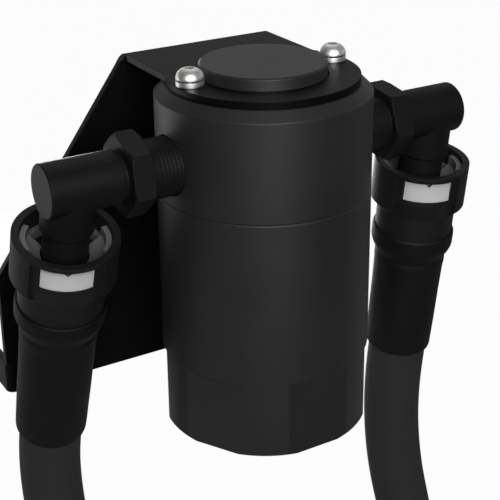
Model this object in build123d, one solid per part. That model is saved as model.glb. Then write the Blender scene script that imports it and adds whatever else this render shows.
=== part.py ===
"""Oil catch can on its folded bracket, with two elbows, quick couplings and hoses.

Millimetres, +Z up. Everything is drawn about the can: its axis is the Z axis and its top face is
z = 0, -Y is the front and the ports lie along X. The finished pieces are then moved so that the
origin is the middle of the bracket's two mounting holes, on the face that meets the car.
"""
import math
import os
from build123d import *

# Can
CAN_RADIUS = 38.0
CAN_HEIGHT = 127.5
HEAD_HEIGHT = 38.2
TOP_CHAMFER = 3.4
BOSS_RADIUS = 22.3
BOSS_RISE = 6.8
BOSS_BEVEL = 0.6
ROOF_THICKNESS = 10.0
POST_RADIUS = 6.0

# Screwed joint between head and cup
JOINT_GAP = 0.3
RIM_WIDTH = 4.6
THREAD_DEPTH = 0.4
SPIGOT_WALL = 2.9
LEDGE_WIDTH = 3.0
SPIGOT_RADIUS = CAN_RADIUS - RIM_WIDTH
SPIGOT_ROOT_RADIUS = SPIGOT_RADIUS - THREAD_DEPTH
SPIGOT_BORE_RADIUS = SPIGOT_RADIUS - SPIGOT_WALL
CAVITY_RADIUS = SPIGOT_BORE_RADIUS - LEDGE_WIDTH
SPIGOT_LAND = 1.5
SPIGOT_LENGTH = 12.0
THREAD_CLEARANCE = 0.1
SEAL_WIRE_RADIUS = 0.75
SEAL_ROOM = 0.1

# Cup
CUP_FLOOR = 4.0
CUP_INNER_CHAMFER = 5.0
CUP_FOOT_CHAMFER = 1.0
CUP_RIM_BREAK = 0.4
FLAT_COUNT = 6
FLAT_DEPTH = 2.0
FLAT_DISTANCE = CAN_RADIUS - FLAT_DEPTH
FLAT_HEIGHT = 28.8

# Separator inside the head
LEDGE_DROP = 1.5
BAFFLE_THICKNESS = 1.5
BAFFLE_CLEARANCE = 0.2
BAFFLE_HOLE_RADIUS = 2.0
OUTER_HOLES_INSET = 5.0
OUTER_HOLES_RADIUS = CAVITY_RADIUS - OUTER_HOLES_INSET
OUTER_HOLES_COUNT = 11
OUTER_HOLES_SPREAD = 132.0
INNER_HOLES_RADIUS = 13.0
INNER_HOLES_COUNT = 5
INNER_HOLES_SPREAD = 100.0
MESH_THICKNESS = 4.0
MESH_CLEARANCE = 0.3
TUBE_RADIUS = 6.0
TUBE_GAP = 2.5
TUBE_X = TUBE_RADIUS + TUBE_GAP - CAVITY_RADIUS
TUBE_WALL = 1.0
TUBE_GRIP = 5.0
TUBE_LENGTH = 32.0
BLOCK_RADIUS = 8.5
BLOCK_BOTTOM = -35.5

# Bracket
SHEET = 2.6
TONGUE_RADIUS = 33.6
FOLD_HALF_WIDTH = 30.1
BACK_FACE_Y = 51.4
BEND_RADIUS = 1.6
BACK_LEFT_X = -84.2
BACK_BOTTOM_Z = -123.2
SLANT_STEP = 2.0
SLANT_END_Z = -74.4
TAB_BEND_RADIUS = 0.4
TAB_HEIGHT = 12.0
TAB_LENGTH = 26.0
BOSS_HOLE_GAP = 0.25
MOUNT_X = 5.0
MOUNT_MIDDLE_Z = -72.5
MOUNT_SPACING = 55.0
MOUNT_HOLE_RADIUS = 3.3

# Button-head screws and washers
SCREW_OFFSET = 28.5
SCREW_RADIUS = 2.5
SCREW_LENGTH = 12.0
SCREW_TIP = 0.75
SCREW_HOLE_RADIUS = 2.75
TAPPED_GAP = 0.05
TAPPED_DEPTH = 9.6
HEAD_RADIUS = 4.8
HEAD_RISE = 3.6
HEAD_RIM = 0.6
CROWN_RADIUS = 1.9
DOME_RADIUS = 3.85
DOME_RISE = 2.45
SOCKET_FLATS = 3.0
SOCKET_DEPTH = 1.6
WASHER_RADIUS = 4.8
WASHER_THICKNESS = 2.4
WASHER_EDGE = 0.6

# Elbow
PORT_Z = -24.1
NIPPLE_RADIUS = 10.65
NIPPLE_ROOT_RADIUS = 10.3
NIPPLE_INNER_END = 28.9
NIPPLE_SEAT_END = 36.2
HEX_START = 48.2
HEX_THICKNESS = 7.8
HEX_FLATS = 25.4
HEX_CORNER_CUT = 0.9
GROOVE_WIDTH = 1.5
GROOVE_RADIUS = 8.5
ELBOW_RADIUS = 9.35
ELBOW_END = 83.0
ELBOW_EDGE = 0.4
LEG_RADIUS = 9.2
LEG_END = 17.0
LEG_EDGE = 0.5
PASSAGE_RADIUS = 6.5
FIT_GAP = 0.05
INLET_LEAN = 18.4
OUTLET_LEAN = 7.6

# Stem, measured down its own axis from the port's axis
STEM_X = 73.1
STEM_RADIUS = 7.9
STEM_TOP = 9.0
STEM_END = 50.0
STEM_END_CHAMFER = 2.0
BEAD_TOP = 32.2
BEAD_HEIGHT = 2.4
BEAD_RADIUS = 9.7
BEAD_EDGE = 0.6
STEM_BORE_RADIUS = 6.0

# Quick coupling, measured down the same axis
COLLAR_TOP = 20.2
COLLAR_RADIUS = 18.3
COLLAR_WALL = 2.7
COLLAR_STRAIGHT = 37.0
CONE_END = 40.0
PANEL_RADIUS = 17.0
PANEL_TOP = 21.6
PANEL_TAPER = 33.0
PANEL_HALF_ANGLE = 42.0
BODY_RADIUS = 15.2
CUP_BOTTOM = 31.6
BEAD_ROOM_BOTTOM = 35.2
BEAD_ROOM_GAP = 0.4
BODY_SHOULDER = 55.7
BORE_GAP = 0.1
BORE_BOTTOM = 52.0
BORE_RELIEF = 0.4
BORE_RELIEF_WIDTH = 0.8
TAIL_RADIUS = 7.0
TAIL_BORE_RADIUS = 5.4
TAIL_END = 80.0
BARB_PITCH = 6.0
BARB_COUNT = 3
BARB_DEPTH = 0.7
BARB_LAND = 1.0
RING_WIRE_RADIUS = 1.15
RING_GROOVE_WIDTH = 2.7
RING_GROOVES = (39.5, 44.0)
WINDOW_TOP = 22.9
WINDOW_BOTTOM = 31.1
WINDOW_HALF_ANGLE = 32.3
WINDOW_FILLING_GAP = 0.2
PAD_RADIUS = 16.8
NOTCH_WIDTH = 2.6
NOTCH_DEPTH = 1.3
RETAINER_WALL = 2.0
RETAINER_RING_TOP = 27.2
EAR_TOP = 22.0
EAR_BOTTOM = 30.5
EAR_SLOPE_TOP = 25.5
EAR_NOSE = 1.5
EAR_INNER_RADIUS = 8.3
EAR_HALF_ANGLE = 26.0
PAD_SIDE_ANGLE = 0.8
INLET_PAD_TURN = -20.0
OUTLET_PAD_TURN = -27.0

# Hose and sleeve
HOSE_RADIUS = 11.75
HOSE_BORE_RADIUS = 7.1
SLEEVE_TOP = 49.5
SLEEVE_BULGE_RADIUS = 16.1
SLEEVE_NECK = 60.0
SLEEVE_NECK_RADIUS = 13.8
SLEEVE_END_RADIUS = 13.2
SLEEVE_EDGE = 0.5
SLEEVE_RIDGE = 0.25
SLEEVE_RIDGE_DROP = 2.5
SLEEVE_GAP = 0.02
INLET_SLEEVE_END = 114.0
OUTLET_SLEEVE_END = 105.0
FAR_SLEEVE_END = 94.0
BEND_SHARE = 0.45
# Routes in the stem's own axes: X along the port, -Y to the front, -Z down the stem
INLET_ROUTE = ((0, 0, -56), (0, 0, -158), (17, -46, -235), (26, -72, -305))
OUTLET_ROUTE = ((0, 0, -56), (0, 0, -150), (16, -15, -225), (20, -17, -300))


def turned(*corners):
    """Solid of revolution about Z from (radius, height) corners."""
    outline = Polyline(*[(radius, 0, height) for radius, height in corners], close=True)
    return revolve(make_face(outline), Axis.Z)


def sector(radius, half_angle, top, bottom):
    """Wedge of a disc, open to the front (-Y), between two depths down the axis."""
    reach = radius / math.cos(math.radians(half_angle))
    half = reach * math.sin(math.radians(half_angle))
    wedge = make_face(Polyline((0, 0), (-half, -radius), (half, -radius), close=True))
    return Pos(0, 0, -bottom) * extrude(wedge, bottom - top)


def along_x(radius, start, end):
    """Cylinder along X between two places."""
    return Pos(start, 0, 0) * extrude(Plane.YZ * Circle(radius), end - start)


def button_screw(length):
    """Button-head socket screw, its bearing face at z = 0 and its shank downwards."""
    crown = (CROWN_RADIUS, 0, HEAD_RISE)
    rim = (HEAD_RADIUS, 0, HEAD_RIM)
    dome = ThreePointArc(crown, (DOME_RADIUS, 0, DOME_RISE), rim)
    shank = Polyline(rim, (HEAD_RADIUS, 0, 0), (SCREW_RADIUS, 0, 0), (SCREW_RADIUS, 0, SCREW_TIP - length),
                     (SCREW_RADIUS - SCREW_TIP, 0, -length), (0, 0, -length), (0, 0, HEAD_RISE), crown)
    body = revolve(make_face(dome + shank), Axis.Z)
    socket = RegularPolygon(SOCKET_FLATS / 2, 6, major_radius=False)
    return body - Pos(0, 0, HEAD_RISE - SOCKET_DEPTH) * extrude(socket, SOCKET_DEPTH)


def can_head():
    """Turned head: boss, chamfer, two ports, tapped holes, post, inlet block and thread spigot."""
    ledge = -HEAD_HEIGHT - LEDGE_DROP
    foot = -HEAD_HEIGHT - SPIGOT_LENGTH
    land = -HEAD_HEIGHT - SPIGOT_LAND
    body = turned(
        (0, BOSS_RISE), (BOSS_RADIUS - BOSS_BEVEL, BOSS_RISE), (BOSS_RADIUS, BOSS_RISE - BOSS_BEVEL),
        (BOSS_RADIUS, 0), (CAN_RADIUS - TOP_CHAMFER, 0), (CAN_RADIUS, -TOP_CHAMFER),
        (CAN_RADIUS, -HEAD_HEIGHT), (SPIGOT_RADIUS, -HEAD_HEIGHT), (SPIGOT_RADIUS, land),
        (SPIGOT_ROOT_RADIUS, land), (SPIGOT_ROOT_RADIUS, foot + SPIGOT_LAND),
        (SPIGOT_RADIUS, foot + SPIGOT_LAND), (SPIGOT_RADIUS, foot),
        (SPIGOT_BORE_RADIUS, foot), (SPIGOT_BORE_RADIUS, ledge), (CAVITY_RADIUS, ledge),
        (CAVITY_RADIUS, -ROOF_THICKNESS), (POST_RADIUS, -ROOF_THICKNESS), (POST_RADIUS, ledge),
        (0, ledge))
    reach = CAN_RADIUS - BLOCK_RADIUS + TUBE_X
    block = Circle(BLOCK_RADIUS) + Pos(-reach / 2, 0) * Rectangle(reach, 2 * BLOCK_RADIUS)
    body = body + Pos(TUBE_X, 0, BLOCK_BOTTOM) * extrude(block, -ROOF_THICKNESS - BLOCK_BOTTOM)
    port = NIPPLE_RADIUS + FIT_GAP
    cuts = [Pos(0, 0, PORT_Z) * along_x(port, CAVITY_RADIUS - NIPPLE_RADIUS / 2, 2 * CAN_RADIUS)]
    cuts.append(Pos(0, 0, PORT_Z) * along_x(port, -2 * CAN_RADIUS, FIT_GAP - NIPPLE_INNER_END))
    cuts.append(Pos(0, 0, PORT_Z) * along_x(TUBE_RADIUS - TUBE_WALL, -CAN_RADIUS, TUBE_X))
    drop = PORT_Z - BLOCK_BOTTOM
    cuts.append(Pos(TUBE_X, 0, BLOCK_BOTTOM) * extrude(Circle(TUBE_RADIUS + FIT_GAP), drop))
    tapped = extrude(Circle(SCREW_RADIUS + TAPPED_GAP), TAPPED_DEPTH)
    for side in (-1, 1):
        cuts.append(Pos(side * SCREW_OFFSET, 0, -TAPPED_DEPTH) * tapped)
    cuts.append(Pos(0, 0, ledge) * tapped)
    for cut in cuts:
        body = body - cut
    return body


def can_cup():
    """Turned cup: threaded mouth with a seal groove, rounded floor and six spanner flats."""
    top = -HEAD_HEIGHT - JOINT_GAP
    bore = SPIGOT_RADIUS + THREAD_CLEARANCE
    floor = -CAN_HEIGHT + CUP_FLOOR
    body = turned(
        (bore, top), (CAN_RADIUS - CUP_RIM_BREAK, top), (CAN_RADIUS, top - CUP_RIM_BREAK),
        (CAN_RADIUS, -CAN_HEIGHT + CUP_FOOT_CHAMFER), (CAN_RADIUS - CUP_FOOT_CHAMFER, -CAN_HEIGHT),
        (0, -CAN_HEIGHT), (0, floor), (bore - CUP_INNER_CHAMFER, floor), (bore, floor + CUP_INNER_CHAMFER))
    middle = (bore + CAN_RADIUS) / 2
    half = SEAL_WIRE_RADIUS + SEAL_ROOM
    groove = turned((middle - half, top + half), (middle + half, top + half),
                    (middle + half, top - 2 * half), (middle - half, top - 2 * half))
    body = body - groove
    slab = Box(CAN_RADIUS, 2 * CAN_RADIUS, FLAT_HEIGHT, align=(Align.MIN, Align.CENTER, Align.MIN))
    for step in range(FLAT_COUNT):
        turn = 90 + step * 360 / FLAT_COUNT
        body = body - Rot(0, 0, turn) * Pos(FLAT_DISTANCE, 0, -CAN_HEIGHT) * slab
    return body


def cup_seal():
    """Seal ring in the groove of the cup's rim."""
    middle = (SPIGOT_RADIUS + THREAD_CLEARANCE + CAN_RADIUS) / 2
    height = -HEAD_HEIGHT - JOINT_GAP - SEAL_WIRE_RADIUS - SEAL_ROOM
    return Pos(0, 0, height) * Torus(middle, SEAL_WIRE_RADIUS)


def baffle_plate():
    """Perforated plate under the mesh pad, with a hole for the drop tube and for its screw."""
    top = -HEAD_HEIGHT - LEDGE_DROP
    sketch = Circle(SPIGOT_BORE_RADIUS - BAFFLE_CLEARANCE) - Circle(SCREW_HOLE_RADIUS)
    sketch = sketch - Pos(TUBE_X, 0) * Circle(TUBE_RADIUS + BAFFLE_CLEARANCE)
    rings = ((OUTER_HOLES_RADIUS, OUTER_HOLES_COUNT, OUTER_HOLES_SPREAD),
             (INNER_HOLES_RADIUS, INNER_HOLES_COUNT, INNER_HOLES_SPREAD))
    for radius, count, spread in rings:
        for index in range(count):
            angle = math.radians(-spread + 2 * spread * index / (count - 1))
            place = Pos(radius * math.cos(angle), radius * math.sin(angle))
            sketch = sketch - place * Circle(BAFFLE_HOLE_RADIUS)
    return Pos(0, 0, top - BAFFLE_THICKNESS) * extrude(sketch, BAFFLE_THICKNESS)


def mesh_pad():
    """Wire mesh pad that lies on the baffle plate, round the post and the drop tube."""
    bottom = -HEAD_HEIGHT - LEDGE_DROP
    sketch = Circle(CAVITY_RADIUS - MESH_CLEARANCE) - Circle(POST_RADIUS + MESH_CLEARANCE)
    sketch = sketch - Pos(TUBE_X, 0) * Circle(TUBE_RADIUS + MESH_CLEARANCE)
    return Pos(0, 0, bottom) * extrude(sketch, MESH_THICKNESS)


def drop_tube():
    """Tube pressed into the inlet block that leads the flow down through the baffle."""
    ring = Circle(TUBE_RADIUS) - Circle(TUBE_RADIUS - TUBE_WALL)
    return Pos(TUBE_X, 0, BLOCK_BOTTOM + TUBE_GRIP - TUBE_LENGTH) * extrude(ring, TUBE_LENGTH)


def baffle_screw():
    """Screw that holds the baffle plate against the post, its head below."""
    height = -HEAD_HEIGHT - LEDGE_DROP - BAFFLE_THICKNESS
    return Pos(0, 0, height) * Rot(180, 0, 0) * button_screw(TAPPED_DEPTH)


def bracket():
    """Folded sheet: round tongue over the boss, bend, slanted back plate and a return tab."""
    outer = BEND_RADIUS + SHEET
    bend_y = BACK_FACE_Y - outer
    bend_z = SHEET - outer
    width = 2 * FOLD_HALF_WIDTH
    strip = Pos(0, bend_y / 2) * Rectangle(width, bend_y)
    tongue = Circle(TONGUE_RADIUS) + strip - Circle(BOSS_RADIUS + BOSS_HOLE_GAP)
    for side in (-1, 1):
        tongue = tongue - Pos(side * SCREW_OFFSET, 0) * Circle(SCREW_HOLE_RADIUS)
    body = extrude(tongue, SHEET)
    quarter = Pos(outer / 2, outer / 2) * Rectangle(outer, outer)
    bend = (Circle(outer) - Circle(BEND_RADIUS)) & quarter
    slant_x = -FOLD_HALF_WIDTH - SLANT_STEP
    fold = Pos(slant_x, bend_y, bend_z) * extrude(Plane.YZ * bend, width + SLANT_STEP)
    slant = make_face(Polyline((-FOLD_HALF_WIDTH, SHEET), (slant_x, SHEET), (slant_x, bend_z), close=True))
    body = body + (fold - Pos(0, BACK_FACE_Y, 0) * extrude(Plane.XZ * slant, outer))
    tab_outer = TAB_BEND_RADIUS + SHEET
    left = BACK_LEFT_X + tab_outer
    tab_top = BACK_BOTTOM_Z + TAB_HEIGHT
    corners = ((FOLD_HALF_WIDTH, bend_z), (FOLD_HALF_WIDTH, BACK_BOTTOM_Z), (left, BACK_BOTTOM_Z),
               (left, tab_top), (BACK_LEFT_X, tab_top), (BACK_LEFT_X, SLANT_END_Z), (slant_x, bend_z))
    plate = Pos(0, BACK_FACE_Y, 0) * extrude(Plane.XZ * make_face(Polyline(*corners, close=True)), SHEET)
    for side in (-0.5, 0.5):
        place = Pos(MOUNT_X, BACK_FACE_Y, MOUNT_MIDDLE_Z + side * MOUNT_SPACING)
        plate = plate - place * Rot(90, 0, 0) * Cylinder(MOUNT_HOLE_RADIUS, 4 * SHEET)
    tab_y = BACK_FACE_Y + TAB_BEND_RADIUS
    tab_quarter = Pos(tab_outer / 2, tab_outer / 2) * Rectangle(tab_outer, tab_outer)
    tab_bend = (Circle(tab_outer) - Circle(TAB_BEND_RADIUS)) & tab_quarter
    corner = Pos(left, tab_y, BACK_BOTTOM_Z) * Rot(0, 0, 180) * extrude(tab_bend, TAB_HEIGHT)
    flange = Pos(BACK_LEFT_X, tab_y, BACK_BOTTOM_Z) * Box(
        SHEET, TAB_LENGTH, TAB_HEIGHT, align=(Align.MIN, Align.MIN, Align.MIN))
    return body + plate + corner + flange


def bracket_screws():
    """The two screws that hold the tongue on the can, as one group."""
    height = SHEET + WASHER_THICKNESS
    screw = button_screw(SCREW_LENGTH)
    return Pos(-SCREW_OFFSET, 0, height) * screw + Pos(SCREW_OFFSET, 0, height) * screw


def bracket_washers():
    """The two washers under those screws, as one group."""
    ring = turned((SCREW_HOLE_RADIUS, 0), (WASHER_RADIUS, 0), (WASHER_RADIUS, WASHER_THICKNESS - WASHER_EDGE),
                  (WASHER_RADIUS - WASHER_EDGE, WASHER_THICKNESS), (SCREW_HOLE_RADIUS, WASHER_THICKNESS))
    return Pos(-SCREW_OFFSET, 0, SHEET) * ring + Pos(SCREW_OFFSET, 0, SHEET) * ring


def elbow():
    """Nipple, chamfered hexagon, groove and blind cylinder along +X, with a leg for the stem below."""
    hex_end = HEX_START + HEX_THICKNESS
    body_start = hex_end + GROOVE_WIDTH
    body = along_x(NIPPLE_RADIUS, NIPPLE_INNER_END, NIPPLE_SEAT_END)
    body = body + along_x(NIPPLE_ROOT_RADIUS, NIPPLE_SEAT_END, HEX_START)
    prism = Plane.YZ.offset(HEX_START) * RegularPolygon(HEX_FLATS / 2, 6, major_radius=False)
    corner = HEX_FLATS / math.sqrt(3)
    face = corner - HEX_CORNER_CUT * math.sqrt(3)
    limits = Rot(0, 90, 0) * turned((0, HEX_START), (face, HEX_START), (corner, HEX_START + HEX_CORNER_CUT),
                                    (corner, hex_end - HEX_CORNER_CUT), (face, hex_end), (0, hex_end))
    body = body + (extrude(prism, HEX_THICKNESS) & limits)
    body = body + along_x(GROOVE_RADIUS, hex_end, body_start)
    blind = Rot(0, 90, 0) * turned(
        (0, body_start), (ELBOW_RADIUS, body_start), (ELBOW_RADIUS, ELBOW_END - ELBOW_EDGE),
        (ELBOW_RADIUS - ELBOW_EDGE, ELBOW_END), (0, ELBOW_END))
    leg = turned((0, 0), (LEG_RADIUS, 0), (LEG_RADIUS, LEG_EDGE - LEG_END), (LEG_RADIUS - LEG_EDGE, -LEG_END),
                 (0, -LEG_END))
    socket = STEM_RADIUS + FIT_GAP
    seat = turned((0, 0), (STEM_BORE_RADIUS, 0), (STEM_BORE_RADIUS, FIT_GAP - STEM_TOP),
                  (socket, FIT_GAP - STEM_TOP), (socket, -LEG_END), (0, -LEG_END))
    body = body + blind + Pos(STEM_X, 0, 0) * leg
    return body - along_x(PASSAGE_RADIUS, NIPPLE_INNER_END, STEM_X) - Pos(STEM_X, 0, 0) * seat


def stem():
    """Smooth tube with a locking bead, its upper end pressed into the elbow's leg."""
    return turned((STEM_BORE_RADIUS, -STEM_TOP), (STEM_RADIUS, -STEM_TOP), (STEM_RADIUS, -BEAD_TOP),
                  (BEAD_RADIUS, -BEAD_TOP - BEAD_EDGE), (BEAD_RADIUS, BEAD_EDGE - BEAD_TOP - BEAD_HEIGHT),
                  (STEM_RADIUS, -BEAD_TOP - BEAD_HEIGHT), (STEM_RADIUS, STEM_END_CHAMFER - STEM_END),
                  (STEM_RADIUS - STEM_END_CHAMFER / 2, -STEM_END), (STEM_BORE_RADIUS, -STEM_END))


def coupling_body():
    """Collar with two sunken panels and windows, cone, seal grooves and a barbed hose tail."""
    inner = COLLAR_RADIUS - COLLAR_WALL
    bore = STEM_RADIUS + BORE_GAP
    room = BEAD_RADIUS + BEAD_ROOM_GAP
    body = turned(
        (inner, -COLLAR_TOP), (COLLAR_RADIUS, -COLLAR_TOP), (COLLAR_RADIUS, -COLLAR_STRAIGHT),
        (BODY_RADIUS, -CONE_END), (BODY_RADIUS, -BODY_SHOULDER), (TAIL_RADIUS, -BODY_SHOULDER),
        (TAIL_RADIUS, -TAIL_END), (TAIL_BORE_RADIUS, -TAIL_END), (TAIL_BORE_RADIUS, -BORE_BOTTOM),
        (bore + BORE_RELIEF, -BORE_BOTTOM), (bore + BORE_RELIEF, BORE_RELIEF_WIDTH - BORE_BOTTOM),
        (bore, BORE_RELIEF_WIDTH - BORE_BOTTOM), (bore, -BEAD_ROOM_BOTTOM), (room, -BEAD_ROOM_BOTTOM),
        (room, -CUP_BOTTOM), (inner, -CUP_BOTTOM))
    groove = bore + 2 * RING_WIRE_RADIUS
    for depth in RING_GROOVES:
        half = RING_GROOVE_WIDTH / 2
        body = body - turned((STEM_RADIUS, half - depth), (groove, half - depth), (groove, -half - depth),
                             (STEM_RADIUS, -half - depth))
    for index in range(BARB_COUNT):
        root = TAIL_END - index * BARB_PITCH
        crest = root - BARB_PITCH + BARB_LAND
        body = body - turned((TAIL_RADIUS - BARB_DEPTH, -root), (HOSE_RADIUS, -root), (HOSE_RADIUS, -crest),
                             (TAIL_RADIUS, -crest))
    outside = 2 * COLLAR_RADIUS
    panel = turned((PANEL_RADIUS, -PANEL_TOP), (outside, -PANEL_TOP), (outside, -CONE_END),
                   (BODY_RADIUS, -CONE_END), (PANEL_RADIUS, -PANEL_TAPER))
    panel = panel & sector(2 * outside, PANEL_HALF_ANGLE, PANEL_TOP, CONE_END)
    window = sector(outside, WINDOW_HALF_ANGLE, WINDOW_TOP, WINDOW_BOTTOM)
    for half_turn in (0, 180):
        body = body - Rot(0, 0, half_turn) * panel - Rot(0, 0, half_turn) * window
    return body


def retainer():
    """Springy ring with a pad in each window and an upright ear each side that hooks behind the bead."""
    gap = WINDOW_FILLING_GAP
    outer = COLLAR_RADIUS - COLLAR_WALL - gap
    inner = outer - RETAINER_WALL
    top = WINDOW_TOP + gap
    bottom = WINDOW_BOTTOM - gap
    ring = turned((inner, -RETAINER_RING_TOP), (outer, -RETAINER_RING_TOP), (outer, -bottom),
                  (inner, -bottom))
    pad_shell = turned((inner, -top), (PAD_RADIUS, -top), (PAD_RADIUS, -bottom), (inner, -bottom))
    pad = pad_shell & sector(2 * PAD_RADIUS, WINDOW_HALF_ANGLE - PAD_SIDE_ANGLE, top, bottom)
    half = NOTCH_WIDTH / 2
    notch = make_face(Polyline((-half, -top), (0, -top - NOTCH_DEPTH), (half, -top), close=True))
    pad = pad - Pos(0, -outer, 0) * extrude(Plane.XZ * notch, PAD_RADIUS)
    ear_shell = turned((inner, -EAR_TOP), (outer, -EAR_TOP), (outer, -EAR_BOTTOM),
                       (EAR_INNER_RADIUS, -EAR_BOTTOM), (EAR_INNER_RADIUS, EAR_NOSE - EAR_BOTTOM),
                       (inner, -EAR_SLOPE_TOP))
    ear = ear_shell & sector(2 * PAD_RADIUS, EAR_HALF_ANGLE, EAR_TOP, EAR_BOTTOM)
    for half_turn in (0, 180):
        ring = ring + Rot(0, 0, half_turn) * pad
        ring = ring + Rot(0, 0, half_turn + 90) * ear
    return ring


def seal_rings():
    """The two seal rings in the coupling's bore, as one group, at their squeezed size."""
    middle = STEM_RADIUS + BORE_GAP + RING_WIRE_RADIUS
    ring = Torus(middle, RING_WIRE_RADIUS - SLEEVE_GAP)
    upper, lower = RING_GROOVES
    return Pos(0, 0, -upper) * ring + Pos(0, 0, -lower) * ring


def sleeve(end):
    """Shrunk boot from the coupling's body down onto the hose, with a shoulder and a faint ridge."""
    lip = BODY_RADIUS + SLEEVE_GAP
    grip = HOSE_RADIUS + SLEEVE_GAP
    ridge = SLEEVE_NECK + SLEEVE_RIDGE_DROP
    soft = SLEEVE_EDGE
    return turned(
        (lip, -SLEEVE_TOP), (SLEEVE_BULGE_RADIUS - soft, -SLEEVE_TOP),
        (SLEEVE_BULGE_RADIUS, -SLEEVE_TOP - 2 * soft), (SLEEVE_BULGE_RADIUS, soft - BODY_SHOULDER),
        (SLEEVE_BULGE_RADIUS - soft, -2 * soft - BODY_SHOULDER),
        (SLEEVE_NECK_RADIUS + soft, soft - SLEEVE_NECK), (SLEEVE_NECK_RADIUS, -SLEEVE_NECK - soft),
        (SLEEVE_NECK_RADIUS + SLEEVE_RIDGE, -ridge), (SLEEVE_NECK_RADIUS, -ridge - SLEEVE_RIDGE_DROP),
        (SLEEVE_END_RADIUS, 2 * soft - end), (SLEEVE_END_RADIUS - soft, -end), (grip, -end),
        (grip, -SLEEVE_GAP - BODY_SHOULDER), (lip, -SLEEVE_GAP - BODY_SHOULDER))


def hose_path(frame, route):
    """Straight runs joined by tangent arcs, as large as the runs allow."""
    points = [(frame * Pos(*point)).position for point in route]
    runs = [after - before for before, after in zip(points, points[1:])]
    radii = []
    for before, after in zip(runs, runs[1:]):
        half_turn = math.radians(before.get_angle(after) / 2)
        radii.append(BEND_SHARE * min(before.length, after.length) / math.tan(half_turn))
    print("bend radii", [round(radius) for radius in radii])
    return FilletPolyline(*points, radius=radii), runs[-1].normalized()


def hose(path):
    """Rubber hose: a ring carried along its path."""
    ring = Circle(HOSE_RADIUS) - Circle(HOSE_BORE_RADIUS)
    tube = sweep(Plane(path @ 0, z_dir=path % 0) * ring, path=path)
    section = math.pi * (HOSE_RADIUS**2 - HOSE_BORE_RADIUS**2)
    print("hose length", round(path.length, 1), "volume share", round(tube.volume / section / path.length, 4))
    return tube


def line(name, side, lean, pad_turn, sleeve_end, route):
    """One port's pieces: elbow, stem, coupling and hose with the coupling on its far end."""
    tilt = Pos(0, 0, PORT_Z) * Rot(lean, 0, 0)
    axis = tilt * Pos(side * STEM_X, 0, 0)
    near = axis * Rot(0, 0, pad_turn)
    path, direction = hose_path(axis, route)
    end = path @ 1 + direction * (BODY_SHOULDER + SLEEVE_GAP)
    far = Plane(end, x_dir=(1, 0, 0), z_dir=direction).location
    outward = Rot(0, 0, 0 if side > 0 else 180)
    pieces = {"elbow": tilt * outward * elbow(), "stem": axis * stem(), "hose": hose(path)}
    for place, prefix, last in ((near, "", sleeve_end), (far, "end_", FAR_SLEEVE_END)):
        pieces[prefix + "coupling"] = place * coupling_body()
        pieces[prefix + "retainer"] = place * retainer()
        pieces[prefix + "seals"] = place * seal_rings()
        pieces[prefix + "sleeve"] = place * sleeve(last)
    return {f"{name}_{piece}": shape for piece, shape in pieces.items()}


def build():
    """All pieces by name, about the can."""
    pieces = {
        "can_head": can_head(), "can_cup": can_cup(), "cup_seal": cup_seal(),
        "baffle_plate": baffle_plate(), "mesh_pad": mesh_pad(), "drop_tube": drop_tube(),
        "baffle_screw": baffle_screw(), "bracket": bracket(), "bracket_screws": bracket_screws(),
        "bracket_washers": bracket_washers(),
    }
    pieces.update(line("inlet", -1, INLET_LEAN, INLET_PAD_TURN, INLET_SLEEVE_END, INLET_ROUTE))
    pieces.update(line("outlet", 1, OUTLET_LEAN, OUTLET_PAD_TURN, OUTLET_SLEEVE_END, OUTLET_ROUTE))
    return pieces


os.makedirs("parts", exist_ok=True)
to_mount = Pos(-MOUNT_X, -BACK_FACE_Y, -MOUNT_MIDDLE_Z)
for node, shape in build().items():
    export_step(to_mount * shape, f"parts/{node}.step")
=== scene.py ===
"""Looks of an oil catch can on its bracket, with elbows, quick couplings, sleeves and hoses.

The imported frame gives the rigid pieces. This script gives them their finishes, lays the two hoses as free
cords, turns the shrunk sleeves and the pipe threads as numpy surfaces, and sets the studio and the camera.
Lengths are metres in the part's own frame: +Z up, +Y towards the car, +X towards the outlet.
"""
import logging
import math
from dataclasses import dataclass
from enum import Enum
from typing import Any, Mapping, Sequence

import bpy
import numpy as np
from mathutils import Matrix, Vector

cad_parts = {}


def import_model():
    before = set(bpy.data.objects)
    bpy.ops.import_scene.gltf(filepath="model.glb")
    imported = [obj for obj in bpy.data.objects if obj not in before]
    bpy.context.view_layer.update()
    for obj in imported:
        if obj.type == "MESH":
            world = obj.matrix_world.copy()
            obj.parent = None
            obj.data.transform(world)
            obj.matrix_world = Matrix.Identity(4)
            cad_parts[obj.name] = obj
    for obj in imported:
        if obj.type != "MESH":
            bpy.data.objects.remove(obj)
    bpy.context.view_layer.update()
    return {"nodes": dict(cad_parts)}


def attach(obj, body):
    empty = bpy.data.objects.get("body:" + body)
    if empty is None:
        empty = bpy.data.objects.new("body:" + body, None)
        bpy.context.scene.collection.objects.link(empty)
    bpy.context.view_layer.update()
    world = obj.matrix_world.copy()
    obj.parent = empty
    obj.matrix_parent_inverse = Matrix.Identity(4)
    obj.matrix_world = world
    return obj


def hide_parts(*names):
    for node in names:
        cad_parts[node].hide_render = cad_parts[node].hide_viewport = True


LOG = logging.getLogger("catch_can")
Colour = tuple[float, float, float]
Point = tuple[float, float, float]
CAN_TOP = (-0.005, -0.0514, 0.0725)
PORT_CENTRE = (-0.005, -0.0514, 0.0484)
ROUND = 96
ROUGHNESS_SPREAD = 0.1


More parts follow.
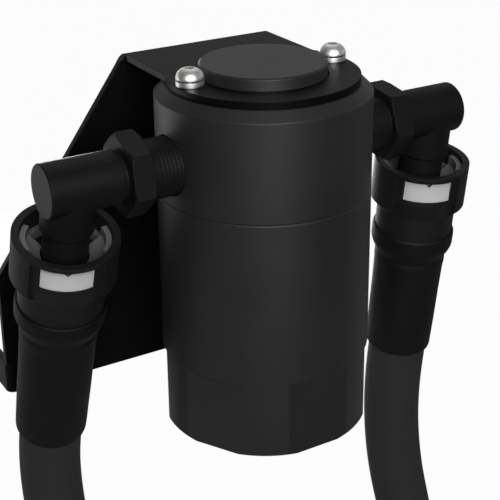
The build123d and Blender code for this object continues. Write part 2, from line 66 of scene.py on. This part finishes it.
class Sock:
    """A node's output, with operators that add Math nodes behind it."""

    def __init__(self, bench: "Bench", socket: bpy.types.NodeSocket) -> None:
        """Keeps the socket and the bench that it belongs to."""
        self.bench = bench
        self.socket = socket

    def _math(self, operation: str, first: Any, second: Any) -> "Sock":
        """One Math node on two values."""
        return self.bench.add("ShaderNodeMath", {"operation": operation}, {0: first, 1: second})

    def __add__(self, other: Any) -> "Sock":
        """Sum."""
        return self._math("ADD", self, other)

    __radd__ = __add__

    def __sub__(self, other: Any) -> "Sock":
        """Difference."""
        return self._math("SUBTRACT", self, other)

    def __rsub__(self, other: Any) -> "Sock":
        """Difference from a number."""
        return self._math("SUBTRACT", other, self)

    def __mul__(self, other: Any) -> "Sock":
        """Product."""
        return self._math("MULTIPLY", self, other)

    __rmul__ = __mul__

    def largest(self, other: Any) -> "Sock":
        """The larger of two values."""
        return self._math("MAXIMUM", self, other)


class Bench:
    """A node tree and the one method that adds nodes to it."""

    def __init__(self, tree: bpy.types.NodeTree) -> None:
        """Empties the tree."""
        self.tree = tree
        tree.nodes.clear()

    def add(self, kind: str, settings: Mapping[str, Any] | None = None,
            sockets: Mapping[Any, Any] | None = None, output: Any = 0) -> Sock:
        """Adds a node, sets it up and links it.

        Args:
            kind: the node's type.
            settings: the node's own settings; "stops" are a ramp's places and values.
            sockets: a value or a Sock for each named or numbered input.
            output: the name or number of the output that is wanted.

        Returns:
            That output.
        """
        node = self.tree.nodes.new(kind)
        for name, value in (settings or {}).items():
            if name == "stops":
                self._stops(node.color_ramp, value)
            else:
                setattr(node, name, value)
        for name, value in (sockets or {}).items():
            target = node.inputs[name]
            if isinstance(value, Sock):
                self.tree.links.new(value.socket, target)
            else:
                target.default_value = value
        return Sock(self, node.outputs[output] if len(node.outputs) else None)

    @staticmethod
    def _stops(ramp: bpy.types.ColorRamp, stops: Sequence[tuple[float, float]]) -> None:
        """Sets a grey ramp's stops."""
        while len(ramp.elements) > 1:
            ramp.elements.remove(ramp.elements[-1])
        for index, (place, level) in enumerate(stops):
            element = ramp.elements[0] if index == 0 else ramp.elements.new(place)
            element.position = place
            element.color = (level, level, level, 1.0)

    def place(self, scale: Point = (1.0, 1.0, 1.0)) -> Sock:
        """Object coordinates, stretched by a scale on each axis."""
        coordinates = self.add("ShaderNodeTexCoord", output="Object")
        return self.add("ShaderNodeMapping", {}, {"Vector": coordinates, "Scale": scale})

    def noise(self, scale: float, detail: float = 2.0, stretch: Point = (1.0, 1.0, 1.0)) -> Sock:
        """Noise from 0 to 1 on Object coordinates, scale in features per metre."""
        return self.add("ShaderNodeTexNoise", {}, {
            "Vector": self.place(stretch), "Scale": scale, "Detail": detail}, "Fac")

    def ramp(self, value: Sock, *stops: tuple[float, float]) -> Sock:
        """A value drawn through grey stops."""
        return self.add("ShaderNodeValToRGB", {"stops": stops}, {"Fac": value})

    def mix(self, factor: Sock, first: Colour, second: Colour) -> Sock:
        """A colour between two, by a factor."""
        return self.add("ShaderNodeMix", {"data_type": "RGBA"}, {
            0: factor, 6: (*first, 1.0), 7: (*second, 1.0)}, 2)


@dataclass(frozen=True)
class Finish:
    """A finish: a colour, its gloss, and how far its edges are rounded.

    Attributes:
        name: the material's name.
        slot: a material slot's name; not used.
        colour: base colour.
        dark: the colour that the pattern darkens to; painted shade in the finishes that follow how open a
            surface is.
        roughness: from 0, a mirror, to 1.
        metallic: 1 for bare metal.
        specular: strength of the reflection of a plain surface.
        edge: radius of the edges, in metres.
        grain: size of the surface's grain, in features per metre.
        relief: height of the grain, in metres.
    """

    name: str
    slot: str
    colour: Colour
    dark: Colour
    roughness: float
    metallic: float = 0.0
    specular: float = 0.5
    edge: float = 0.0003
    grain: float = 900.0
    relief: float = 0.00001

    def pattern(self, bench: Bench) -> Sock:
        """The cloudiness of the colour: soft noise."""
        return bench.noise(60.0, 3.0)

    def height(self, bench: Bench) -> Sock:
        """The grain of the surface: fine noise."""
        return bench.noise(self.grain, 2.0)

    def material(self) -> bpy.types.Material:
        """Builds the material.

        Returns:
            A material whose colour, roughness and normal follow the finish.
        """
        made = bpy.data.materials.new(self.name)
        made.use_nodes = True
        bench = Bench(made.node_tree)
        # The pattern: soft noise for random cloudiness, or painted shade that darkens gaps and recesses in
        # the occlusion finishes.
        cloud_or_shade = self.pattern(bench)
        rounded = bench.add("ShaderNodeBevel", {"samples": 6}, {"Radius": self.edge})
        normal = bench.add("ShaderNodeBump", {}, {
            "Strength": 1.0, "Distance": self.relief, "Height": self.height(bench), "Normal": rounded})
        surface = bench.add("ShaderNodeBsdfPrincipled", {}, {
            "Base Color": bench.mix(cloud_or_shade, self.dark, self.colour),
            "Roughness": self.roughness + ROUGHNESS_SPREAD * (cloud_or_shade - 0.5),
            "Metallic": self.metallic, "Specular IOR Level": self.specular, "Normal": normal})
        bench.add("ShaderNodeOutputMaterial", {}, {"Surface": surface})
        made.diffuse_color = (*self.colour, 1.0)
        return made


@dataclass(frozen=True)
class TurnedFinish(Finish):
    """Anodised metal with fine marks of the lathe round the Z axis."""

    def height(self, bench: Bench) -> Sock:
        """Noise that is long in X and Y and short in Z, so that it lies in rings."""
        return bench.noise(self.grain, 2.0, (0.02, 0.02, 1.0))


@dataclass(frozen=True)
class StreakedFinish(Finish):
    """Coated sheet with faint streaks along X, as the sheet was brushed before its coat."""

    def pattern(self, bench: Bench) -> Sock:
        """Noise that is long in X and short in Y and Z."""
        return bench.noise(420.0, 3.0, (0.02, 1.0, 1.0))


@dataclass(frozen=True)
class PaintedShadeFinish(Finish):
    """A pale finish with painted shade: its colour darkens where it sits deep inside another piece or in a
    narrow gap.

    Attributes:
        reach: how far away another surface still counts, in metres.
        shut: the open share at which the painted shade is at its darkest.
        clear: the open share from which it has its full colour, with no painted shade.
    """

    reach: float = 0.02
    shut: float = 0.8
    clear: float = 0.95

    def pattern(self, bench: Bench) -> Sock:
        """How open the surface is within its reach, from 0 to 1, which sets the painted shade in its
        colour.
        """
        open_share = bench.add("ShaderNodeAmbientOcclusion", {"samples": 8},
                               {"Distance": self.reach}, "AO")
        return bench.ramp(open_share, (self.shut, 0.0), (self.clear, 1.0))


class Finishes(Enum):
    """The finishes of the catch can."""

    CAN = TurnedFinish(
        "can_anodised", "anodised_aluminium", (0.0090, 0.0090, 0.0092), (0.0072, 0.0072, 0.0074),
        0.5, specular=0.55, edge=0.0003, grain=2600.0, relief=0.000006)
    BRACKET = StreakedFinish(
        "bracket_satin", "bracket_coating", (0.0018, 0.0018, 0.0018), (0.0012, 0.0012, 0.0012),
        0.45, specular=0.1, edge=0.0005, grain=1800.0)
    # Painted shade: the steel darkens in the narrow groove between screw head and washer, and low on the
    # washer beside the bracket.
    STEEL = PaintedShadeFinish(
        "screw_steel", "stainless_steel", (0.84, 0.83, 0.81), (0.03, 0.03, 0.03),
        0.42, 1.0, edge=0.0002, reach=0.001, shut=0.45)
    FITTING = Finish(
        "fitting_black", "black_fitting", (0.0062, 0.0062, 0.0063), (0.0046, 0.0046, 0.0047),
        0.5, specular=0.11, edge=0.0005)
    BARE = TurnedFinish(
        "bare_aluminium", "natural_aluminium", (0.74, 0.74, 0.75), (0.62, 0.62, 0.63), 0.34, 1.0)
    MESH = Finish(
        "mesh_knitted", "mesh_wire", (0.5, 0.5, 0.5), (0.06, 0.06, 0.06),
        0.4, 1.0, grain=1200.0, relief=0.0004)
    COUPLING = Finish(
        "coupling_moulded", "coupling_plastic", (0.0050, 0.0050, 0.0051), (0.0038, 0.0038, 0.0039),
        0.6, specular=0.25, edge=0.0004, grain=2200.0)
    # Painted shade: the retainer's ears and ring inside the coupling's collar darken, while the pads in the
    # windows keep their pale colour.
    RETAINER = PaintedShadeFinish(
        "retainer_moulded", "retainer_plastic", (0.46, 0.46, 0.46), (0.07, 0.07, 0.07),
        0.5, edge=0.0003, grain=2200.0)
    SEAL = Finish(
        "seal_moulded", "seal_rubber", (0.02, 0.02, 0.02), (0.015, 0.015, 0.015), 0.55)
    SLEEVE = Finish(
        "sleeve_shrunk", "sleeve_shrink", (0.0026, 0.0026, 0.0027), (0.0019, 0.0019, 0.002),
        0.62, specular=0.19, edge=0.0004, grain=260.0, relief=0.00008)
    HOSE = Finish(
        "hose_matte", "hose_rubber", (0.017, 0.017, 0.0174), (0.012, 0.012, 0.0123),
        0.7, specular=0.3, grain=1400.0, relief=0.00006)

    def dress(self, *pieces: bpy.types.Object) -> None:
        """Puts the finish on pieces."""
        made = bpy.data.materials.get(self.value.name) or self.value.material()
        for piece in pieces:
            piece.data.materials.clear()
            piece.data.materials.append(made)


@dataclass
class Surface:
    """A grid of points that becomes a mesh.

    Attributes:
        name: the piece's name.
        points: array of shape (rows, columns, 3); the columns run round and close on themselves.
    """

    name: str
    points: np.ndarray

    def piece(self, body: str) -> bpy.types.Object:
        """Makes the mesh, one quad between neighbours, and lets it ride on a body.

        Args:
            body: the CAD body that the piece moves with.

        Returns:
            The piece, shaded smooth.
        """
        rows, columns = self.points.shape[:2]
        index = np.arange(rows * columns).reshape(rows, columns)
        onward = np.roll(index, -1, axis=1)
        quads = np.stack([index[:-1], onward[:-1], onward[1:], index[1:]], axis=-1).reshape(-1, 4)
        mesh = bpy.data.meshes.new(self.name)
        mesh.from_pydata(self.points.reshape(-1, 3).tolist(), [], quads.tolist())
        mesh.polygons.foreach_set("use_smooth", np.ones(len(quads), dtype=bool))
        mesh.update()
        made = bpy.data.objects.new(self.name, mesh)
        bpy.context.scene.collection.objects.link(made)
        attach(made, body)
        return made


def unit(vector: np.ndarray) -> np.ndarray:
    """The vector at a length of 1."""
    return vector / np.linalg.norm(vector)


@dataclass
class Axes:
    """A straight axis in space, for pieces that are turned about it.

    Attributes:
        start: the point where distances are counted from.
        along: unit direction.
    """

    start: np.ndarray
    along: np.ndarray

    def ring(self, distance: np.ndarray, radius: np.ndarray, angle: np.ndarray) -> np.ndarray:
        """Points at a distance along the axis, a radius from it and an angle round it.

        The point is start + distance * along + radius * (cos(angle) * side + sin(angle) * across), where
        side and across are two directions square to the axis.
        """
        guide = np.array((1.0, 0.0, 0.0)) if abs(self.along[0]) < 0.8 else np.array((0.0, 1.0, 0.0))
        side = unit(guide - self.along * guide.dot(self.along))
        across = np.cross(self.along, side)
        turn = np.cos(angle)[..., None] * side + np.sin(angle)[..., None] * across
        return self.start + distance[..., None] * self.along + radius[..., None] * turn


def turn_angles() -> np.ndarray:
    """The angles of the points round a turned surface."""
    return np.linspace(0.0, 2 * np.pi, ROUND, endpoint=False)


@dataclass
class ScrewThread:
    """A right-hand screw thread that shows, by default the pipe thread on a nipple.

    Attributes:
        axes: the axis that it climbs along.
        start: where the thread begins along it.
        end: where it ends.
        root: radius at the bottom of the thread.
        crest: radius at its top.
        pitch: distance from turn to turn.
        rows: rings of points along the axis.
    """

    axes: Axes
    start: float = 0.0362
    end: float = 0.0450
    root: float = 0.01032
    crest: float = 0.0104
    pitch: float = 0.00141
    rows: int = 97

    def surface(self, name: str) -> Surface:
        """The thread's skin.

        Radius = root + (crest - root) * tooth, where tooth rises and falls in a blunt triangle over the
        fraction of distance / pitch - angle / one turn, so that the ridge climbs one pitch a turn.
        """
        distance, angle = np.meshgrid(np.linspace(self.start, self.end, self.rows), turn_angles(),
                                      indexing="ij")
        phase = np.mod(distance / self.pitch - angle / (2 * np.pi), 1.0)
        tooth = np.clip(1.5 - 3.2 * np.abs(phase - 0.5), 0.0, 1.0)
        radius = self.root + (self.crest - self.root) * tooth
        return Surface(name, self.axes.ring(distance, radius, angle))


@dataclass
class ShrunkSleeve:
    """The shrunk boot from a coupling's body down onto its hose.

    Attributes:
        axes: the coupling's axis, downwards from the port's axis.
        end: where the sleeve ends on the hose.
        seed: which way the faint creases lie.
        top: where the sleeve begins on the coupling's body.
        smooth_end: where the body's shape under the sleeve ends.
        step: where the inside steps in from the body to the hose.
        body_bore: inside radius on the body.
        hose_bore: inside radius on the hose.
        crease_height: how far the creases stand out.
        stations: distance and outside radius, from the top down.
        lip: the same at the sleeve's end, counted from that end.
    """

    axes: Axes
    end: float
    seed: float = 0.0
    top: float = 0.0495
    smooth_end: float = 0.068
    step: float = 0.0558
    body_bore: float = 0.01523
    hose_bore: float = 0.01178
    crease_height: float = 0.00006
    stations: tuple[tuple[float, float], ...] = (
        (0.0495, 0.01565), (0.0502, 0.01602), (0.0515, 0.01610), (0.0548, 0.01610), (0.0566, 0.01565),
        (0.0592, 0.01440), (0.0602, 0.01395), (0.0612, 0.01382), (0.0625, 0.01402), (0.0640, 0.01398),
        (0.0660, 0.01378))
    lip: tuple[tuple[float, float], ...] = ((-0.0012, 0.01322), (-0.0004, 0.01305), (0.0, 0.01262))

    def surface(self, name: str) -> Surface:
        """The boot's skin, outside and back up inside.

        The outer radius is a smooth curve through the stations, then falls evenly to the end; creases add
        a few hundredths of a millimetre, as a slow wave along the axis times a slow wave round it.
        """
        profile = np.vstack([np.array(self.stations), np.array(self.lip) + (self.end, 0.0)])
        outer = np.unique(np.concatenate([
            np.linspace(self.top, self.smooth_end, 60), np.linspace(self.smooth_end, self.end, 50),
            profile[:, 0]]))
        inner = np.array((self.end, self.end - 0.004, self.step, self.step, self.top))
        hollow = np.array((self.hose_bore,) * 3 + (self.body_bore,) * 2)
        along = np.concatenate([outer, inner])
        reach = np.concatenate([self._curve(outer, profile), hollow])
        distance, angle = np.meshgrid(along, turn_angles(), indexing="ij")
        begins = np.clip((distance - 0.066) / 0.012, 0.0, 1.0)
        ends = np.clip((self.end - distance) / 0.006, 0.0, 1.0)
        along_wave = np.sin(310.0 * distance + 2.0 * np.sin(angle + self.seed))
        crease = along_wave * np.sin(3 * angle + self.seed)
        outside = (np.arange(len(along)) < len(outer))[:, None]
        radial = reach[:, None] + self.crease_height * crease * begins * ends * outside
        return Surface(name, self.axes.ring(distance, radial, angle))

    @staticmethod
    def _curve(place: np.ndarray, profile: np.ndarray) -> np.ndarray:
        """Monotone cubic through the profile, with the harmonic means of the chords as its slopes."""
        at, value = profile[:, 0], profile[:, 1]
        chord = np.diff(value) / np.diff(at)
        slope = np.zeros(len(at))
        product = chord[:-1] * chord[1:]
        total = np.where(np.abs(chord[:-1] + chord[1:]) < 1e-12, 1.0, chord[:-1] + chord[1:])
        slope[1:-1] = np.where(product > 0, 2 * product / total, 0.0)
        slope[0], slope[-1] = chord[0], chord[-1]
        cell = np.clip(np.searchsorted(at, place, side="right") - 1, 0, len(at) - 2)
        width = at[cell + 1] - at[cell]
        part = (place - at[cell]) / width
        rise = part * part * (3 - 2 * part)
        return ((1 - rise) * value[cell] + rise * value[cell + 1]
                + width * part * (1 - part) * ((1 - part) * slope[cell] - part * slope[cell + 1]))


@dataclass
class Hose:
    """A rubber hose as a free cord.

    Attributes:
        route: the corners of its route, from the coupling's shoulder to the far coupling's.
        diameter: outside diameter.
        share: part of the shorter run that a bend takes on each side of a corner.
        arc_points: points on a bend.
        run_points: points on a straight run.
    """

    route: np.ndarray
    diameter: float = 0.0235
    share: float = 0.45
    arc_points: int = 14
    run_points: int = 5

    def line(self) -> np.ndarray:
        """The centre line: straight runs, and at each inner corner the arc that touches both runs.

        The arc starts share * the shorter run before the corner. Its points lie at
        centre + radius * (cos(t) * outward + sin(t) * onward) for t from 0 to the angle turned.
        """
        points = [self.route[0]]
        for before, corner, after in zip(self.route, self.route[1:], self.route[2:]):
            run_in, run_out = corner - before, after - corner
            reach = self.share * min(np.linalg.norm(run_in), np.linalg.norm(run_out))
            first, last = unit(run_in), unit(run_out)
            turned = math.acos(float(np.clip(first.dot(last), -1.0, 1.0)))
            radius = reach / math.tan(turned / 2)
            inward = unit(last - first * first.dot(last))
            start = corner - first * reach
            angle = np.linspace(0.0, turned, self.arc_points)[:, None]
            arc = start + radius * ((1 - np.cos(angle)) * inward + np.sin(angle) * first)
            points.extend(np.linspace(points[-1], start, self.run_points)[1:-1])
            points.extend(arc)
        points.extend(np.linspace(points[-1], self.route[-1], self.run_points)[1:])
        return np.array(points)

    def length(self) -> float:
        """Length of the centre line."""
        return float(np.linalg.norm(np.diff(self.line(), axis=0), axis=1).sum())

    def piece(self, name: str, body: str) -> bpy.types.Object:
        """Lays the hose as a round NURBS curve on its line and lets it ride on a body."""
        line = self.line()
        curve = bpy.data.curves.new(name, "CURVE")
        curve.dimensions = "3D"
        curve.bevel_depth = 1.0
        curve.bevel_resolution = 10
        curve.use_fill_caps = True
        spline = curve.splines.new("NURBS")
        spline.points.add(len(line) - 1)
        spline.points.foreach_set("co", np.hstack([line, np.ones((len(line), 1))]).ravel())
        spline.points.foreach_set("radius", np.full(len(line), self.diameter / 2))
        spline.order_u = 3
        spline.use_endpoint_u = True
        spline.resolution_u = 4
        made = bpy.data.objects.new(name, curve)
        bpy.context.scene.collection.objects.link(made)
        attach(made, body)
        return made


@dataclass
class CatchCan:
    """The can: head, cup, seal and the separator inside.

    Attributes:
        nodes: the frame's pieces by name.
        thread_start: where the cup's thread begins, down from the can's top.
        thread_end: where it ends.
        thread_root: radius at the bottom of the thread.
        thread_crest: radius at its top.
        thread_pitch: distance from turn to turn.
    """

    nodes: Mapping[str, bpy.types.Object]
    thread_start: float = 0.0398
    thread_end: float = 0.0486
    thread_root: float = 0.03302
    thread_crest: float = 0.03340
    thread_pitch: float = 0.002

    def dress(self) -> None:
        """Cuts the thread that the cup screws on and gives the can's pieces their finishes."""
        spigot = Axes(np.array(CAN_TOP), np.array((0.0, 0.0, -1.0)))
        screw = ScrewThread(spigot, self.thread_start, self.thread_end, self.thread_root, self.thread_crest,
                            self.thread_pitch)
        thread = screw.surface("cup_thread").piece("can")
        Finishes.CAN.dress(self.nodes["can_head"], self.nodes["can_cup"], thread)
        Finishes.SEAL.dress(self.nodes["cup_seal"])
        Finishes.BARE.dress(self.nodes["baffle_plate"], self.nodes["drop_tube"])
        Finishes.MESH.dress(self.nodes["mesh_pad"])
        Finishes.STEEL.dress(self.nodes["baffle_screw"])
        LOG.info("can dressed")


@dataclass
class Bracket:
    """The folded sheet and the screws and washers that hold it on the can."""

    nodes: Mapping[str, bpy.types.Object]

    def dress(self) -> None:
        """Gives the bracket and its screws their finishes."""
        Finishes.BRACKET.dress(self.nodes["bracket"])
        Finishes.STEEL.dress(self.nodes["bracket_screws"], self.nodes["bracket_washers"])
        LOG.info("bracket dressed")


class Port(Enum):
    """The two ports, with the name that their pieces start with and the way they face along X."""

    INLET = ("inlet", -1.0)
    OUTLET = ("outlet", 1.0)


@dataclass
class PortLine:
    """One port's line: elbow, stem, coupling, sleeve, hose and the coupling on its far end.

    Attributes:
        nodes: the frame's pieces by name.
        port: which port.
        lean: how far the stem leans back, in degrees.
        sleeve_end: where the near sleeve ends, down the stem's axis.
        route: the hose's corners in the stem's own axes.
        stem_reach: from the can's axis out to the stem's.
        hose_start: from the port's axis down to the hose's first point.
        far_sleeve_end: where the far sleeve ends, counted the same way on the far coupling.
        shoulder: from the port's axis down to the shoulder that the hose meets.
    """

    nodes: Mapping[str, bpy.types.Object]
    port: Port
    lean: float
    sleeve_end: float
    route: tuple[Point, ...]
    stem_reach: float = 0.0731
    hose_start: float = 0.056
    far_sleeve_end: float = 0.094
    shoulder: float = 0.05572

    def node(self, piece: str) -> bpy.types.Object:
        """One of the line's CAD pieces."""
        return self.nodes[f"{self.port.value[0]}_{piece}"]

    def _corners(self) -> np.ndarray:
        """The hose's corners in the part's frame: turned about X by the lean, and moved to the stem."""
        angle = math.radians(self.lean)
        turn = np.array(((1.0, 0.0, 0.0), (0.0, math.cos(angle), -math.sin(angle)),
                         (0.0, math.sin(angle), math.cos(angle))))
        stem = np.array(PORT_CENTRE) + np.array((self.port.value[1] * self.stem_reach, 0.0, 0.0))
        return np.array(self.route) @ turn.T + stem

    def build(self) -> None:
        """Makes the hose, both sleeves and the thread, and gives every piece its finish."""
        name, way = self.port.value
        body = f"{name}_line"
        corners = self._corners()
        hose = Hose(corners)
        rubber = hose.piece(f"{name}_hose_rubber", body)
        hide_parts(f"{name}_hose")
        Finishes.HOSE.dress(rubber)
        down = unit(corners[1] - corners[0])
        out = unit(corners[-1] - corners[-2])
        near = ShrunkSleeve(Axes(corners[0] - down * self.hose_start, down), self.sleeve_end, way)
        boot = near.surface(f"{name}_boot").piece(body)
        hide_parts(f"{name}_sleeve")
        far = ShrunkSleeve(Axes(corners[-1] + out * self.shoulder, -out), self.far_sleeve_end, way + 1.0)
        far_boot = far.surface(f"{name}_far_boot").piece(body)
        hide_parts(f"{name}_end_sleeve")
        Finishes.SLEEVE.dress(boot, far_boot)
        nipple = Axes(np.array(PORT_CENTRE), np.array((way, 0.0, 0.0)))
        thread = ScrewThread(nipple).surface(f"{name}_thread").piece("can")
        Finishes.FITTING.dress(self.node("elbow"), self.node("stem"), thread)
        Finishes.COUPLING.dress(self.node("coupling"), self.node("end_coupling"))
        Finishes.RETAINER.dress(self.node("retainer"), self.node("end_retainer"))
        Finishes.SEAL.dress(self.node("seals"), self.node("end_seals"))
        hose.length()
        LOG.info("%s line made, hose %.0f mm", name, 1000 * hose.length())


@dataclass(frozen=True)
class Lamp:
    """A square soft light that looks at the can.

    Attributes:
        name: the lamp's name.
        azimuth: which way the lamp stands from the can, in degrees from the front towards +X.
        elevation: how high it stands, in degrees.
        distance: how far away it stands.
        size: its side.
        power: its power in watts.
    """

    name: str
    azimuth: float
    elevation: float
    distance: float
    size: float
    power: float

    def hang(self, aim: Point) -> None:
        """Hangs the lamp so that it looks at a point."""
        turn, rise = math.radians(self.azimuth), math.radians(self.elevation)
        back = Vector((math.sin(turn) * math.cos(rise), -math.cos(turn) * math.cos(rise), math.sin(rise)))
        light = bpy.data.lights.new(self.name, "AREA")
        light.size = self.size
        light.energy = self.power
        lamp = bpy.data.objects.new(self.name, light)
        lamp.location = Vector(aim) + back * self.distance
        lamp.rotation_euler = back.to_track_quat("Z", "Y").to_euler()
        bpy.context.scene.collection.objects.link(lamp)


@dataclass
class Studio:
    """Floor, world, lamps and camera.

    Attributes:
        lamps: the soft lights.
        lamps_aim: the point that they look at.
        floor_height: height of the floor.
        floor_near: the floor's corner nearest the camera, in X and Y.
        floor_far: the opposite corner.
        floor_grey: the floor's colour as the object sees it.
        floor_white: the share of plain white in the floor as the camera sees it.
        camera_at: the camera's place.
        yaw: the camera's turn about Z, in degrees.
        pitch: how far it looks down.
        roll: its turn about its own line of sight.
        lens: focal length on a 36 mm sensor.
        shift: how far the picture is moved up on the sensor, in sensor widths.
    """

    lamps: tuple[Lamp, ...] = (
        Lamp("key", -20.0, 25.0, 1.3, 0.7, 22.0), Lamp("top", 150.0, 58.0, 0.9, 0.6, 0.8),
        Lamp("right", 75.0, 15.0, 0.9, 0.4, 0.3), Lamp("left", -145.0, -5.0, 0.9, 0.5, 1.5),
        Lamp("back", 165.0, -8.0, 1.0, 0.35, 6.0))
    lamps_aim: Point = (-0.005, -0.0514, 0.01)
    floor_height: float = -0.36
    floor_near: tuple[float, float] = (-4.0, -0.25)
    floor_far: tuple[float, float] = (4.0, 5.0)
    floor_grey: Colour = (0.36, 0.36, 0.36)
    floor_white: float = 0.97
    camera_at: Point = (-0.213350, -0.397286, 0.194152)
    yaw: float = -30.363
    pitch: float = 21.023
    roll: float = -0.626
    lens: float = 87.99
    shift: float = -0.1591

    def build(self) -> None:
        """Builds the studio."""
        self._floor()
        self._world()
        for lamp in self.lamps:
            lamp.hang(self.lamps_aim)
        self._camera()
        bpy.context.scene.view_settings.view_transform = "Standard"
        LOG.info("studio set")

    @staticmethod
    def _seen(bench: Bench) -> Sock:
        """1 for rays from the camera, or through glass."""
        path = bench.add("ShaderNodeLightPath", output="Is Camera Ray")
        clear = bench.add("ShaderNodeLightPath", output="Is Transmission Ray")
        return path.largest(clear)

    def _floor(self) -> None:
        """A pale floor that the camera sees as white, with a faint shadow."""
        mesh = bpy.data.meshes.new("floor")
        (left, front), (right, rear) = self.floor_near, self.floor_far
        corners = [(left, front), (right, front), (right, rear), (left, rear)]
        mesh.from_pydata([(x, y, self.floor_height) for x, y in corners], [], [(0, 1, 2, 3)])
        floor = bpy.data.objects.new("floor", mesh)
        bpy.context.scene.collection.objects.link(floor)
        material = bpy.data.materials.new("floor")
        material.use_nodes = True
        bench = Bench(material.node_tree)
        plain = bench.add("ShaderNodeBsdfDiffuse", {}, {"Color": (*self.floor_grey, 1.0)})
        white = bench.add("ShaderNodeEmission", {}, {"Color": (1.0, 1.0, 1.0, 1.0), "Strength": 1.0})
        both = bench.add("ShaderNodeMixShader", {}, {
            0: self.floor_white * self._seen(bench), 1: plain, 2: white})
        bench.add("ShaderNodeOutputMaterial", {}, {"Surface": both})
        mesh.materials.append(material)

    def _world(self) -> None:
        """A soft glow from behind the object, dim in front, and plain white to the camera."""
        world = bpy.data.worlds.new("studio")
        bpy.context.scene.world = world
        world.use_nodes = True
        bench = Bench(world.node_tree)
        facing = bench.add("ShaderNodeTexCoord", output="Generated")
        across, onward = (bench.add("ShaderNodeSeparateXYZ", {}, {0: facing}, axis) for axis in "XY")
        behind = 0.435 * onward + 0.245 * across
        glow = bench.ramp(behind + 0.5, (0.3, 0.0), (0.55, 0.05), (0.8, 0.29), (1.0, 0.38))
        soft = bench.add("ShaderNodeBackground", {}, {"Color": glow, "Strength": 1.0})
        white = bench.add("ShaderNodeBackground", {}, {"Color": (1.0, 1.0, 1.0, 1.0), "Strength": 1.0})
        both = bench.add("ShaderNodeMixShader", {}, {0: self._seen(bench), 1: soft, 2: white})
        bench.add("ShaderNodeOutputWorld", {}, {"Surface": both})

    def _camera(self) -> None:
        """The camera, from its yaw, pitch and roll."""
        yaw, pitch, roll = (math.radians(angle) for angle in (self.yaw, self.pitch, self.roll))
        back = Vector((math.sin(yaw) * math.cos(pitch), -math.cos(yaw) * math.cos(pitch), math.sin(pitch)))
        level = Vector((math.cos(yaw), math.sin(yaw), 0.0))
        rise = back.cross(level)
        right = math.cos(roll) * level + math.sin(roll) * rise
        upward = math.cos(roll) * rise - math.sin(roll) * level
        lens = bpy.data.cameras.new("camera")
        lens.lens = self.lens
        lens.sensor_width = 36.0
        lens.shift_y = self.shift
        lens.clip_start = 0.02
        lens.clip_end = 50.0
        camera = bpy.data.objects.new("camera", lens)
        turn = Matrix((right, upward, back)).transposed()
        camera.matrix_world = Matrix.Translation(Vector(self.camera_at)) @ turn.to_4x4()
        bpy.context.scene.collection.objects.link(camera)
        bpy.context.scene.camera = camera


def main() -> None:
    """Loads the frame, dresses every sub-assembly and sets the studio."""
    logging.basicConfig(level=logging.INFO, format="%(name)s: %(message)s")
    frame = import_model()
    nodes = frame["nodes"]
    CatchCan(nodes).dress()
    Bracket(nodes).dress()
    PortLine(nodes, Port.INLET, 18.4, 0.114, (
        (0.0, 0.0, -0.056), (0.0, 0.0, -0.158), (0.017, -0.046, -0.235), (0.026, -0.072, -0.305))).build()
    PortLine(nodes, Port.OUTLET, 7.6, 0.105, (
        (0.0, 0.0, -0.056), (0.0, 0.0, -0.150), (0.016, -0.015, -0.225), (0.020, -0.017, -0.300))).build()
    Studio().build()
    bpy.context.view_layer.update()


if __name__ == "__main__":
    main()
